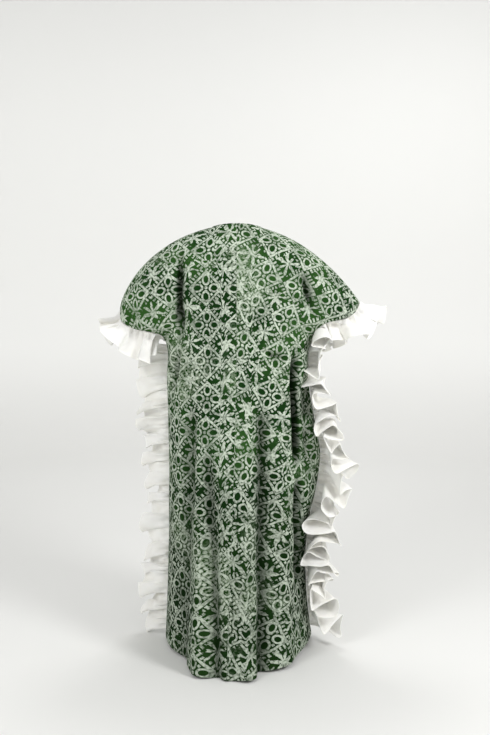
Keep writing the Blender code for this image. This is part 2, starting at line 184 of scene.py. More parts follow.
# The random heights repeat after this many bumps
KNOTS = 256
# The pucker beside the centre-back seam: its reach, the spacing and height of its little waves, and the dip
PUCKER_REACH = 0.014
PUCKER_SPACING = 0.016
PUCKER_HEIGHT = 0.0009
# The little waves stray from an even spacing by a slow sine: its height, and its radians a metre
PUCKER_WANDER = (2, 9)
SEAM_DIP = 0.0016
# Turned hems: how deep, and how much thicker than one layer
HEM_DEPTH = 0.016
HEM_LAYERS = 2.4
NECK_HEM_DEPTH = 0.008
NECK_HEM_LAYERS = 3.0

# The ruffles: a side strip from under the arm to the hem, and a sleeve strip round each arm opening.
# start and end are shares of the edge that each is sewn along, and waves its full waves. main is the share
# of its swell that they keep here, and round how far each lobe bulges over the next. small is the height of
# a second set of waves, ratio how many of them come to a main one, crisp how sharp the finest folds are, and
# twist how much the way that the strip points changes from lobe to lobe.
RUFFLES = table(
    "side  is_sleeve  start  end  waves  seed  main  round  small  ratio  crisp  twist",
    (LEFT, 0, 0.002, 0.985, 14, 12, 0.62, 1.20, 0.006, 1.7, 1.5, 0.32),
    (RIGHT, 0, 0.002, 0.975, 14, 57, 0.66, 1.65, 0.006, 1.6, 2.2, 0.26),
    (LEFT, 1, 0.018, 0.982, 6, 20, 0.95, 0.90, 0.008, 1.7, 1.8, 0.32),
    (RIGHT, 1, 0.018, 0.982, 6, 24, 0.95, 0.90, 0.010, 1.7, 1.9, 0.32),
)
RUFFLE_NAMES = ("side_ruffle_left", "side_ruffle_right", "sleeve_ruffle_left", "sleeve_ruffle_right")

# How each side strip hangs from the underarm, 0, to the hem, 1. turn is the way it points, in degrees from
# straight out sideways towards the back. swell is how far its waves swing, and droop how far its edge sinks.
HANG_COLUMNS = "drop  turn  width  swell  droop"
LEFT_HANG = table(
    HANG_COLUMNS,
    (0.00, -4, 0.094, 0.008, -0.044),
    (0.09, -20, 0.112, 0.020, 0.030),
    (0.30, -46, 0.110, 0.024, 0.024),
    (0.65, -50, 0.112, 0.024, 0.022),
    (0.94, -44, 0.112, 0.022, 0.024),
    (1.00, -40, 0.080, 0.014, 0.020),
)
RIGHT_HANG = table(
    HANG_COLUMNS,
    (0.00, 30, 0.094, 0.012, -0.044),
    (0.06, 98, 0.112, 0.050, 0.020),
    (0.15, 104, 0.120, 0.062, 0.026),
    (0.25, 88, 0.126, 0.058, 0.030),
    (0.38, 62, 0.124, 0.046, 0.030),
    (0.54, 84, 0.132, 0.064, 0.030),
    (0.78, 90, 0.132, 0.064, 0.030),
    (0.92, 66, 0.128, 0.052, 0.024),
    (1.00, 26, 0.092, 0.020, 0.016),
)
# How each sleeve strip hangs, from under the arm in front, 0, over the sleeve tip to under the arm behind, 1.
# x, y and z are the way it points, with x out sideways.
SLEEVE_HANG = table(
    "drop  x  y  z  width  swell",
    (0.00, 0.44, -0.36, -0.82, 0.100, 0.010),
    (0.12, 0.46, -0.40, -0.80, 0.108, 0.018),
    (0.25, 0.42, -0.42, -0.85, 0.096, 0.022),
    (0.38, 0.66, -0.46, -0.60, 0.102, 0.018),
    (0.50, 0.97, 0.00, -0.16, 0.100, 0.012),
    (0.62, 0.66, 0.46, -0.60, 0.102, 0.018),
    (0.75, 0.42, 0.42, -0.85, 0.100, 0.022),
    (0.88, 0.30, 0.40, -0.88, 0.118, 0.018),
    (1.00, 0.16, 0.36, -0.92, 0.108, 0.010),
)
# The right one is the same but for its back, which stands out backwards
RIGHT_SLEEVE_HANG = {column: values.copy() for column, values in SLEEVE_HANG.items()}
RIGHT_SLEEVE_HANG["x"][-3:] = (0.45, 0.05, -0.30)
RIGHT_SLEEVE_HANG["y"][-3:] = (0.75, 0.95, 0.90)
RIGHT_SLEEVE_HANG["z"][-3:] = (-0.50, -0.30, -0.30)
# How far a ruffle's waves swing at its seam, and the power of the width by which they open out from it
SEAM_SWELL = 0.004
WAVE_GROWTH = 0.8
# How unlike each other the lobes are, in swell and spacing, and then in width
UNEVEN = 0.32
UNEVEN_REACH = 0.15
# The share of the strip over which it turns from the seam's way to its own
TURN_SPAN = 0.5
# The seam's direction is taken from this many metres before a point to as many after it, to smooth its bends
SLEEVE_BEND = 0.030
SIDE_BEND = 0.060
# The coarse step that the way out of the arm opening is taken over, as a share of across
EDGE_STEP = 0.078
# Finer folds in a ruffle: small pleats at the gathering seam, crumples over its width, and flutter at its
# free edge. A wander is how far its waves stray from an even spacing, and over how many main waves.
PLEATS_A_WAVE = 4
PLEAT_HEIGHT = 0.0028
PLEAT_PEAK = 0.16
PLEAT_WANDER = (1.6, 0.4)
CRUMPLE_HEIGHT = 0.0042
CRUMPLES_A_WAVE = 2.6
CRUMPLES_ACROSS = 2.2
CRUMPLE_SKEW = 0.5
CRUMPLE_SHARES = (0.6, 0.5)
CRUMPLES_FROM = 0.1
FLUTTER_HEIGHT = 0.0032
FLUTTERS_A_WAVE = 2
FLUTTER_WANDER = (2, 0.7)
# How uneven the free edge is, and over how much of a wave
EDGE_UNEVEN = 0.035
EDGE_UNEVEN_SPAN = 0.22
# The second set of waves, which has its full height from this share of the width on
SMALL_WANDER = (2.5, 1.3)
SMALL_FROM = 0.5
# How flat the tops of the waves are: at 0 they are plain sine waves
FLAT_TOPS = 1.6
RUFFLE_HEM = 0.006
RUFFLE_HEM_LAYERS = 2.2
# Where that hem is stitched, as a share of the way from the seam to the free edge
RUFFLE_STITCH_ROW = 0.93

# The block print: the repeat of its diamonds, and how far the right half of the back is turned and moved
PRINT_PITCH = 0.125
RIGHT_TURN = math.radians(16)
LEFT_SHIFT = (0.030, 0.020)
RIGHT_SHIFT = (0.018, -0.034)
FRONT_SHIFT = (0.000, 0.045)
# The net that each panel is laid flat by: every so many rows and columns of its points, and how many rounds
NET_ROWS = 8
NET_COLUMNS = 6
FLATTEN_ROUNDS = 60
# No edge of that net counts less or more than this
EDGE_WEIGHTS = (0.05, 20)

# The camera, level and straight behind, and its frame in pixels
CAMERA_PLACE = (-0.028, 2.88, -0.215)
FOCAL_PIXELS = 823
FRAME_HEIGHT = 735
FRAME_SHIFT = -77.5
SENSOR = 36


def smooth_step(value):
    value = np.clip(value, 0, 1)
    return value * value * (3 - 2 * value)


def read(sheet, column, drop, at="drop"):
    """A table's column read at each drop, along smooth curves that don't overshoot its rows."""
    at, values = sheet[at], sheet[column]
    secants = np.diff(values) / np.diff(at)
    slopes = np.gradient(values, at)
    slopes[1:-1] *= secants[1:] * secants[:-1] > 0
    low = np.clip(np.searchsorted(at, drop, side="right") - 1, 0, len(at) - 2)
    length = at[low + 1] - at[low]
    part = np.clip((drop - at[low]) / length, 0, 1)
    return (
        values[low] * (1 + 2 * part) * (1 - part) ** 2
        + values[low + 1] * part**2 * (3 - 2 * part)
        + length * part * (1 - part) * (slopes[low] * (1 - part) - slopes[low + 1] * part)
    )


def both_sides(sheet, column, across, drop):
    """The left or right edge's value, whichever edge the point is nearer."""
    return np.where(across >= 0, read(sheet, "left_" + column, drop), read(sheet, "right_" + column, drop))


def base_sheet(face, across, drop):
    """The panel's form without its folds: BACK or FRONT, on arrays of across and drop."""
    name = "back" if face == BACK else "front"
    angle = across * math.pi / 2
    reach = np.cos(angle).clip(0, 1)
    turned = np.sqrt(1 - (1 - np.clip(drop / SHOULDER_ROUND, 0, 1)) ** 2)
    centre_x = read(MIDDLES, "centre_x", drop)
    edge_x = both_sides(SIDES, "x", across, drop) * np.where(across >= 0, 1, -1)
    x = centre_x * reach + (edge_x - centre_x * reach) * np.abs(np.sin(angle))
    edge_y = both_sides(SIDES, "seam", across, drop) + face * read(SIDES, "opening", drop)
    middle_y = read(MIDDLES, name + "_y", drop)
    full = read(MIDDLES, name + "_full", drop)
    neck = np.sqrt(np.clip(1 - (x / NECK_HALF_WIDTH) ** 2, 0, 1))
    neck_reach = NECK_BACK_REACH if face == BACK else -NECK_FRONT_REACH
    y = edge_y + (middle_y - edge_y) * reach**full * turned + neck_reach * neck * (1 - turned)
    arch = both_sides(SIDES, "arch", across, drop)
    edge_z = both_sides(SIDES, "z", across, drop)
    z = edge_z + (read(MIDDLES, name + "_z", drop) - edge_z) * reach**arch
    if face == FRONT:
        z = z - NECK_FRONT_DROP * neck * (1 - np.clip(drop / SHOULDER_ROUND, 0, 1))
    return np.stack([x, y, z - SHOULDER_HEIGHT], axis=-1)


def unit(vectors):
    return vectors / np.linalg.norm(vectors, axis=-1, keepdims=True)


def out_from(points, face):
    """Unit normals of a grid of points whose rows run down and whose columns run towards +X."""
    down = np.gradient(points, axis=0)
    over = np.gradient(points, axis=1)
    return unit(np.cross(over, down)) * face


def fold_height(folds, x, z):
    """How far the folds lift each point of the base sheet along its normal."""
    height = np.zeros_like(x)
    for top_x, top_z, low_x, low_z, width, depth in zip(*folds.values()):
        run = np.array([low_x - top_x, low_z - top_z])
        length = np.hypot(*run)
        run = run / length
        along = (x - top_x) * run[0] + (z - top_z) * run[1]
        aside = (x - top_x) * run[1] - (z - top_z) * run[0]
        fade_over = min(FOLD_FADE, length / 2)
        fade = smooth_step(along / fade_over)
        if low_z > 0:
            fade = fade * smooth_step((length - along) / fade_over)
        height += depth * fade * np.exp(-((aside / width) ** 2))
    return height


def rumple(over, down, size, seed):
    """Smooth random heights from -1 to 1 over a plane, in bumps of about this size."""
    chance = np.random.default_rng(seed)
    knots = chance.uniform(-1, 1, (KNOTS, KNOTS))
    over, down = over / size, down / size
    column, row = np.floor(over).astype(int), np.floor(down).astype(int)
    part_over, part_down = smooth_step(over - column), smooth_step(down - row)
    column, row = column % KNOTS, row % KNOTS
    next_column, next_row = (column + 1) % KNOTS, (row + 1) % KNOTS
    upper = knots[row, column] * (1 - part_over) + knots[row, next_column] * part_over
    lower = knots[next_row, column] * (1 - part_over) + knots[next_row, next_column] * part_over
    return upper * (1 - part_down) + lower * part_down


def folded_sheet(face, across, drop):
    """The panel's middle surface with its folds and rumples, its normals, and the painted shade from its
    folds.
    """
    base = base_sheet(face, across, drop)
    out = out_from(base, face)
    folds = BACK_FOLDS if face == BACK else FRONT_FOLDS
    hold = (1 - np.abs(across) ** EDGE_HOLD) * smooth_step(drop / SHOULDER_HOLD)
    x, z = base[..., 0], base[..., 2] + SHOULDER_HEIGHT
    height = fold_height(folds, x, z)
    # Painted shade: the deeper a fold's valley, the darker the cloth is painted there
    shade = smooth_step(-height * hold / SHADOW_DEPTH)
    for size, rise, seed in RUMPLES:
        height = height + rise * rumple(x + 1, z, size, seed + face)
    if face == BACK:
        beside = np.exp(-((x / PUCKER_REACH) ** 2))
        uneven = PUCKER_WANDER[0] * np.sin(PUCKER_WANDER[1] * z)
        little = np.sin(2 * math.pi * z / PUCKER_SPACING + uneven)
        height = height + beside * (PUCKER_HEIGHT * little - SEAM_DIP)
    points = base + out * (height * hold)[..., None]
    return points, out_from(points, face), shade


def seam_normals(out, flat_axis):
    """Normals turned into the plane of a seam, so that the two pieces' edges face each other squarely."""
    out = out.copy()
    out[..., flat_axis] = 0
    return unit(out)


def columns_to_edge():
    """across, from the centre to an edge, with columns at the neck's corner."""
    neck = 2 / math.pi * math.asin(NECK_HALF_WIDTH / SIDES["left_x"][0])
    beside_neck = np.linspace(neck, 1, SIDE_COLUMNS + 1)
    return np.concatenate([np.linspace(0, neck, NECK_COLUMNS + 1), beside_neck[1:]])


def panel_drops():
    """drop for each row of points, closest together over the shoulders."""
    yoke = UNDERARM_DROP * np.linspace(0, 1, YOKE_ROWS + 1) ** YOKE_CROWDING
    return np.concatenate([yoke, np.linspace(UNDERARM_DROP, 1, SKIRT_ROWS + 1)[1:]])


def running_length(points, axis):
    """How far each point lies along its row or column from the first one."""
    lengths = np.linalg.norm(np.diff(points, axis=axis), axis=-1)
    first = np.zeros_like(np.take(lengths, [0], axis=axis))
    return np.concatenate([first, np.cumsum(lengths, axis=axis)], axis=axis)


def net_triangles(rows, columns):
    """Two triangles for each cell of a net of points, all wound the same way."""
    place = np.arange(rows * columns).reshape(rows, columns)
    a, b, c, d = place[:-1, :-1], place[:-1, 1:], place[1:, 1:], place[1:, :-1]
    return np.concatenate([np.stack(three, -1).reshape(-1, 3) for three in ((a, b, d), (b, c, d))])


def laid_flat(net, centre):
    """A net of points in space laid flat with as little stretch as can be, as over + down * 1j for each.

    The first layout keeps every angle as well as it can, and each round after it turns every triangle to fit
    its place without stretch and then moves the points to where those triangles would have them.
    """
    rows, columns = net.shape[:2]
    points = net.reshape(-1, 3)
    triangles = net_triangles(rows, columns)
    first, second, third = (points[triangles[:, k]] for k in range(3))
    along = unit(second - first)
    off = third - first
    inward = (off * along).sum(-1)
    height = np.linalg.norm(off - along * inward[:, None], axis=-1)
    local = np.stack([0 * inward, np.linalg.norm(second - first, axis=-1), inward + 1j * height], -1)
    edges = np.roll(local, -1, 1) - local
    opposite = np.roll(edges, -1, 1)
    area = np.abs(edges[:, 0] * np.conj(edges[:, 1])).clip(NEAR)
    keep_angles = np.zeros((len(triangles), len(points)), complex)
    np.put_along_axis(keep_angles, triangles, opposite / np.sqrt(area)[:, None], 1)
    top, foot = centre, (rows - 1) * columns + centre
    flat = np.zeros(len(points), complex)
    flat[foot] = 1j * running_length(net, 0)[-1, centre]
    free = np.setdiff1d(np.arange(len(points)), (top, foot))
    part = keep_angles[:, free]
    flat[free] = np.linalg.solve(part.conj().T @ part, -part.conj().T @ (keep_angles @ flat))
    before = -np.roll(edges, 1, 1)
    corner = edges * before.conj()
    weight = np.roll(corner.real / np.abs(corner.imag).clip(NEAR), 1, 1)
    weight = weight.clip(*EDGE_WEIGHTS)
    pull = np.zeros((len(points), len(points)))
    ahead = np.roll(triangles, -1, 1)
    for own, other in ((triangles, ahead), (ahead, triangles)):
        np.add.at(pull, (own, own), weight)
        np.add.at(pull, (own, other), -weight)
    pull[top] = 0
    pull[top, top] = 1
    pulled = np.linalg.inv(pull)
    for _ in range(FLATTEN_ROUNDS):
        now = flat[ahead] - flat[triangles]
        turn = (weight * now * edges.conj()).sum(1)
        wanted = weight * edges * (turn / np.abs(turn).clip(NEAR))[:, None]
        total = np.zeros(len(points), complex)
        np.add.at(total, ahead, wanted)
        np.add.at(total, triangles, -wanted)
        total[top] = 0
        flat = pulled @ total
    flat = flat.reshape(rows, columns)
    upright = flat[-1, centre] - flat[0, centre]
    return (flat - flat[0, centre]) * 1j * np.abs(upright) / upright


def print_lie(points, middle):
    """Where each point of a whole panel lies in the flat printed cloth: metres from the centre, and down.

    A coarse net of the points is laid flat, and the lengths along rows and columns carry it to the others.
    """
    over = running_length(points, 1)
    over = over - over[:, middle : middle + 1]
    guess = over + 1j * running_length(points, 0)
    rows, columns = np.arange(0, len(points), NET_ROWS), np.arange(0, points.shape[1], NET_COLUMNS)
    net = laid_flat(points[rows][:, columns], middle // NET_COLUMNS) - guess[rows][:, columns]
    every_column = np.arange(points.shape[1])
    every_row = np.arange(len(points))
    moved = np.stack([np.interp(every_column, columns, row) for row in net])
    moved = np.stack([np.interp(every_row, rows, column) for column in moved.T], -1)
    lie = guess + moved
    return np.stack([lie.real, lie.imag], axis=-1)


def turned_and_moved(lie, angle, shift):
    """The print's own coordinates, turned by an angle and moved."""
    over, down = lie[..., 0], lie[..., 1]
    return np.stack(
        [
            over * math.cos(angle) - down * math.sin(angle) + shift[0],
            over * math.sin(angle) + down * math.cos(angle) + shift[1],
        ],
        axis=-1,
    )


def panel(name, face, half, turn, shift, material):
    """One cut piece: the left or right half of a panel, or the whole of it where half is 0."""
    side = columns_to_edge()
    whole = np.concatenate([-side[:0:-1], side])
    drop = panel_drops()
    grid = np.meshgrid(whole, drop)
    points, out, shade = folded_sheet(face, *grid)
    middle = len(side) - 1
    lie = turned_and_moved(print_lie(base_sheet(face, *grid), middle), turn, shift)
    keep = {LEFT: slice(middle, None), RIGHT: slice(0, middle + 1), 0: slice(None)}[half]
    across = whole[keep]
    points, out, lie = points[:, keep].copy(), out[:, keep].copy(), lie[:, keep]
    shoulder = np.abs(points[0, :, 0]) >= NECK_HALF_WIDTH - SEAM_GAP
    out[0, shoulder] = seam_normals(out[0, shoulder], 1)
    points[0, shoulder, 1] += face * SEAM_GAP / 2
    below_arm = drop >= UNDERARM_DROP - NEAR
    for column in (0, -1):
        if abs(across[column]) == 1:
            out[below_arm, column] = seam_normals(out[below_arm, column], 1)
            points[below_arm, column, 1] += face * SEAM_GAP / 2
        else:
            out[:, column] = seam_normals(out[:, column], 0)
            points[:, column, 0] += half * SEAM_GAP / 2
    from_neck = running_length(points, 0)
    from_hem = from_neck[-1:] - from_neck
    neck = smooth_step((NECK_HALF_WIDTH - np.abs(points[0, :, 0])) / NECK_HEM_DEPTH)
    layers = 1 + (HEM_LAYERS - 1) * (from_hem < HEM_DEPTH)
    layers = layers + (NECK_HEM_LAYERS - 1) * neck * (from_neck < NECK_HEM_DEPTH)
    piece = shell(name, points, out, COTTON * layers, lie, material, shade[:, keep])
    return piece, points, out, from_neck, from_hem


def linked(name, data):
    """A new object of the scene that shows this data."""
    made = bpy.data.objects.new(name, data)
    bpy.context.scene.collection.objects.link(made)
    return made


def shell(name, points, out, thickness, lie, material, shade):
    """A closed thin wall round a grid of middle points.

    Its UV map holds each point's place in the flat cloth. Its inner attribute is 1 on the inside of the dress
    and its shade attribute, the painted shade of the folds, is 1 deep in a fold.
    """
    rows, columns = points.shape[:2]
    count = rows * columns
    half = out * (thickness / 2)[..., None]
    corners = np.concatenate([(points + half).reshape(-1, 3), (points - half).reshape(-1, 3)])
    outer = np.arange(count).reshape(rows, columns)
    outside = np.stack([outer[:-1, :-1], outer[:-1, 1:], outer[1:, 1:], outer[1:, :-1]], -1).reshape(-1, 4)
    inside = outside[:, ::-1] + count
    loop = np.concatenate([outer[0, :-1], outer[:-1, -1], outer[-1, :0:-1], outer[:0:-1, 0]])
    after = np.roll(loop, -1)
    rim = np.stack([after, loop, loop + count, after + count], -1)
    faces = np.concatenate([outside, inside, rim])
    triangles = np.concatenate([faces[:, :3], faces[:, [0, 2, 3]]])
    if np.linalg.det(corners[triangles]).sum() < 0:
        faces = faces[:, ::-1]
    mesh = bpy.data.meshes.new(name)
    mesh.from_pydata(corners.tolist(), [], faces.tolist())
    mesh.materials.append(material)
    flat = mesh.uv_layers.new(name="cut")
    flat.data.foreach_set("uv", lie.reshape(-1, 2)[faces.ravel() % count].astype(np.float32).ravel())
    for key, values in (("inner", np.repeat([0.0, 1.0], count)), ("shade", np.tile(shade.ravel(), 2))):
        numbers = mesh.attributes.new(key, "FLOAT", "POINT")
        numbers.data.foreach_set("value", values.astype(np.float32))
    mesh.shade_smooth()
    mesh.set_sharp_from_angle(angle=CREASE_ANGLE)
    return linked(name, mesh)


def edge_line(side, drop, face):
    """The panel's edge on one side, as its middle surface has it, at each drop."""
    name = "left" if side == LEFT else "right"
    x, z, seam = (read(SIDES, f"{name}_{column}", drop) for column in ("x", "z", "seam"))
    y = seam + face * read(SIDES, "opening", drop)
    return np.stack([side * x, y, z - SHOULDER_HEIGHT], axis=-1)


def seam_path(side, is_sleeve):
    """The points that a ruffle is sewn along: the side seam, or the whole edge of the arm opening."""
    rows = panel_drops()
    if is_sleeve:
        yoke = rows[rows <= UNDERARM_DROP + NEAR]
        front, back = (edge_line(side, yoke, face) for face in (FRONT, BACK))
        return np.concatenate([front[::-1], back[1:]])
    return edge_line(side, rows[rows >= UNDERARM_DROP - NEAR], 0)


def lengths_along(path):
    """How far along the path each of its points lies."""
    return np.concatenate([[0], np.cumsum(np.linalg.norm(np.diff(path, axis=0), axis=1))])


def read_along(path, values, share):
    """Vectors given at a path's points, read at shares of its length."""
    lengths = lengths_along(path)
    return np.stack([np.interp(share * lengths[-1], lengths, values[:, k]) for k in range(3)], axis=-1)


def leaving_way(side, is_sleeve, share):
    """The way that the sewn edge faces: on from the panel at the arm opening, straight out at a side seam."""
    if not is_sleeve:
        return np.broadcast_to(np.array([side, 0.0, 0.0]), (len(share), 3))
    yoke = panel_drops()[panel_drops() <= UNDERARM_DROP + NEAR]
    ways = []
    for face in (FRONT, BACK):
        sheet = base_sheet(face, *np.meshgrid(np.array([side * (1 - EDGE_STEP), float(side)]), yoke))
        ways.append(unit(sheet[:, 1] - sheet[:, 0]))
    ways[0][0] = ways[1][0] = unit(ways[0][0] + ways[1][0])
    return unit(read_along(seam_path(side, is_sleeve), np.concatenate([ways[0][::-1], ways[1][1:]]), share))


def stray(phase, wander, seed):
    """How far waves stray from an even spacing: a smooth random angle along the strip."""
    turns, span = wander
    return turns * rumple(phase, 0 * phase, span, seed)


def fine_folds(phase, across, seed, crisp):
    """How far a ruffle's smaller folds lift it: pleats by the seam, crumples, flutter at the free edge."""
    chance = np.random.default_rng(seed)
    turns = 2 * math.pi * phase
    pleats = np.sin(turns * PLEATS_A_WAVE + stray(phase, PLEAT_WANDER, seed + 1))
    by_seam = (across / PLEAT_PEAK) * np.exp(1 - across / PLEAT_PEAK)
    over, down = phase * CRUMPLES_A_WAVE, across * CRUMPLES_ACROSS
    crumpled = rumple(over, down, 1, seed + 2)
    creased = 1 - 2 * np.abs(rumple(over, down + CRUMPLE_SKEW * phase, 1, seed + 3))
    start = chance.uniform(0, 6)
    flutter = np.sin(turns * FLUTTERS_A_WAVE + start + stray(phase, FLUTTER_WANDER, seed + 4))
    crumples = CRUMPLE_SHARES[0] * crumpled + CRUMPLE_SHARES[1] * creased
    return crisp * (
        PLEAT_HEIGHT * pleats * by_seam
        + CRUMPLE_HEIGHT * crumples * smooth_step(across / CRUMPLES_FROM)
        + FLUTTER_HEIGHT * flutter * across**2
    )


def ruffle(name, row, material):
    """One gathered strip: waves that start small at the seam and open out to round lobes at the free edge."""
    side, is_sleeve, start, end, waves, seed, main_share, rounding, small, ratio, crisp, twist = row
    seed = int(seed)
    chance = np.random.default_rng(seed)
    waves = int(waves)
    phase = np.linspace(0, waves, waves * WAVE_COLUMNS + 1)

    def lobes(spread):
        """A factor that changes from lobe to lobe, and smoothly between them."""
        knots = np.arange(2 * waves + 1) / 2
        factors = 1 + spread * chance.uniform(-1, 1, len(knots))
        return read({"phase": knots, "factor": factors}, "factor", phase, at="phase")

    steps = np.concatenate([[0], np.cumsum(1 + UNEVEN * chance.uniform(-1, 1, waves))])
    gathered = {"phase": np.arange(waves + 1.0), "share": steps / steps[-1]}
    share = start + (end - start) * read(gathered, "share", phase, at="phase")
    path = seam_path(side, is_sleeve)
    length = lengths_along(path)[-1]
    bend = (SLEEVE_BEND if is_sleeve else SIDE_BEND) / length
    before, seam, after = (read_along(path, path, np.clip(share + step, 0, 1)) for step in (-bend, 0, bend))
    tangent = unit(after - before)
    hang = ((LEFT_HANG, SLEEVE_HANG) if side == LEFT else (RIGHT_HANG, RIGHT_SLEEVE_HANG))[int(is_sleeve)]
    reach = lobes(UNEVEN_REACH) * read(hang, "width", share)
    rise = lobes(UNEVEN) * read(hang, "swell", share)
    if is_sleeve:
        aim = unit(np.stack([read(hang, axis, share) for axis in "xyz"], axis=-1) * (side, 1, 1))
        droop = 0 * share
    else:
        angle = np.radians(read(hang, "turn", share) * lobes(twist))
        aim = np.stack([side * np.cos(angle), np.sin(angle), 0 * angle], axis=-1)
        droop = read(hang, "droop", share)
    reach = reach * (1 + EDGE_UNEVEN * rumple(phase, 0 * phase, EDGE_UNEVEN_SPAN, seed + 5))
    across = np.linspace(0, 1, RUFFLE_ROWS + 1)[:, None]
    turned = smooth_step(across / TURN_SPAN)[..., None]
    leaving = leaving_way(side, is_sleeve, share)
    leaving = unit(leaving - tangent * (leaving * tangent).sum(-1, keepdims=True))
    aim = leaving * (1 - turned) + aim * turned
    aim = unit(aim - tangent * (aim * tangent).sum(-1, keepdims=True))
    step = reach[:, None] / RUFFLE_ROWS * (aim[1:] + aim[:-1]) / 2
    middle = seam + np.concatenate([0 * step[:1], np.cumsum(step, axis=0)])
    middle = middle + leaving * (SEAM_GAP + (0 if is_sleeve else PANEL_WALL / 2))
    cross = unit(np.cross(tangent, aim))
    wave = SEAM_SWELL + (rise - SEAM_SWELL) * across**WAVE_GROWTH
    spacing = length * (end - start) * np.diff(steps / steps[-1])
    spacing = np.interp(phase, np.arange(waves) + 0.5, spacing)
    turnover = rounding * spacing / (2 * math.pi) * across
    angle = 2 * math.pi * phase
    small_angle = angle * ratio + stray(phase, SMALL_WANDER, seed + 6)
    small_wave = small * smooth_step(across / SMALL_FROM)
    swing = np.sin(angle)
    swing = swing * (1 + FLAT_TOPS) / (1 + FLAT_TOPS * np.abs(swing))
    lift = main_share * wave * swing + small_wave * np.sin(small_angle)
    lift = lift + fine_folds(phase + 0 * across, across + 0 * phase, seed, crisp)
    points = middle + cross * lift[..., None]
    along = turnover * np.sin(2 * angle) + turnover / ratio * np.sin(2 * small_angle) / 2
    points -= tangent * along[..., None]
    points[..., 2] -= droop * across**2
    out = unit(np.cross(np.gradient(points, axis=0), np.gradient(points, axis=1)))
    out[0] = unit(out[0] - leaving * (out[0] * leaving).sum(-1, keepdims=True))
    free = running_length(points[-1][None], 1)[0]
    down = across * reach
    lie = np.stack([free + 0 * across, down], axis=-1)
    layers = 1 + (RUFFLE_HEM_LAYERS - 1) * (reach - down < RUFFLE_HEM)
    piece = shell(name, points, out, RUFFLE_COTTON * layers, lie, material, 0 * layers)
    return piece, points, out


# Materials

# How fine noise is where a pattern is plain, and the softness of an edge that is hard
PLAIN_DETAIL = 2
HARD = 0.002


class Sum:
    """A number in a shader tree. Arithmetic on it adds Math nodes, so a pattern reads as its formula."""

    def __init__(self, tree, socket):
        self.tree = tree
        self.socket = socket

    def with_node(self, operation, *others):
        node = self.tree.nodes.new("ShaderNodeMath")
        node.operation = operation
        for place, value in zip(node.inputs, (self, *others)):
            if isinstance(value, Sum):
                self.tree.links.new(value.socket, place)
            else:
                place.default_value = value
        return Sum(self.tree, node.outputs[0])

    def __add__(self, other):
        return self.with_node("ADD", other)

    def __sub__(self, other):
        return self.with_node("SUBTRACT", other)

    def __mul__(self, other):
        return self.with_node("MULTIPLY", other)

    def __truediv__(self, other):
        return self.with_node("DIVIDE", other)

    def below(self, limit, soft):
        """1 where this is under the limit, 0 over it, with an edge this soft."""
        node = self.tree.nodes.new("ShaderNodeMapRange")
        node.interpolation_type = "SMOOTHSTEP"
        self.tree.links.new(self.socket, node.inputs["Value"])
        for place, value in (("From Min", limit - soft / 2), ("From Max", limit + soft / 2)):
            node.inputs[place].default_value = value
        node.inputs["To Min"].default_value = 1
        node.inputs["To Max"].default_value = 0
        return Sum(self.tree, node.outputs["Result"])

    def size(self):
        return self.with_node("ABSOLUTE")

    def whole(self):
        return self.with_node("FLOOR")

    def part(self):
        return self.with_node("FRACT")

    def greater(self, other):
        return self.with_node("MAXIMUM", other)

    def length_with(self, other):
        return (self * self + other * other).with_node("SQRT")


def new_group(name, inputs, outputs):
    """A shader node group with these named sockets, and its tree's input and output nodes."""
    tree = bpy.data.node_groups.new(name, "ShaderNodeTree")
    for socket_name, kind, value in inputs:
        socket = tree.interface.new_socket(socket_name, in_out="INPUT", socket_type=kind)
        if value is not None:
            socket.default_value = value
    for socket_name, kind in outputs:
        tree.interface.new_socket(socket_name, in_out="OUTPUT", socket_type=kind)
    return tree, tree.nodes.new("NodeGroupInput"), tree.nodes.new("NodeGroupOutput")


def joined(tree, *numbers):
    """A vector made of two or three numbers."""
    node = tree.nodes.new("ShaderNodeCombineXYZ")
    for place, value in zip(node.inputs, numbers):
        if isinstance(value, Sum):
            tree.links.new(value.socket, place)
        else:
            place.default_value = value
    return node.outputs[0]


def noise(tree, vector, scale, detail):
    """Smooth noise, about 0.5 on average, in two dimensions."""
    node = tree.nodes.new("ShaderNodeTexNoise")
    node.noise_dimensions = "2D"
    node.inputs["Scale"].default_value = scale
    node.inputs["Detail"].default_value = detail
    tree.links.new(vector, node.inputs["Vector"])
    return node


def channels(tree, colour):
    node = tree.nodes.new("ShaderNodeSeparateColor")
    tree.links.new(colour, node.inputs[0])
    return [Sum(tree, socket) for socket in node.outputs]


def axes(tree, vector):
    """The three parts of a vector."""
    node = tree.nodes.new("ShaderNodeSeparateXYZ")
    tree.links.new(vector, node.inputs[0])
    return [Sum(tree, socket) for socket in node.outputs]


def chance_of(tree, over, down):
    """Three random numbers that stay the same over one cell."""
    node = tree.nodes.new("ShaderNodeTexWhiteNoise")
    node.noise_dimensions = "2D"
    tree.links.new(joined(tree, over, down), node.inputs["Vector"])
    return channels(tree, node.outputs["Color"])


# The print's own sizes, as shares of its repeat. A line, band or spot is given as its width and its softness.
PRINT_DETAIL = 3
# The ring cells: four oval rings, the wedges between them, the dot in the middle, and the cell's border
RING_ABOVE = 0.222
RING_BESIDE = 0.232
RING_LONG = 0.128
RING_NARROW = 0.092
RING_LINE = (0.24, 0.12)
WEDGE_PLACE = 0.160
WEDGE_SPOT = (0.044, 0.026)
DOT_SPOT = (0.040, 0.026)
BORDER_PLACE = 0.050
BORDER_RAGGED = 0.05
BORDER_LINE = (0.040, 0.016)
HEAVY_RAGGED = 0.12
HEAVY_LINE = (-0.42, 0.02)
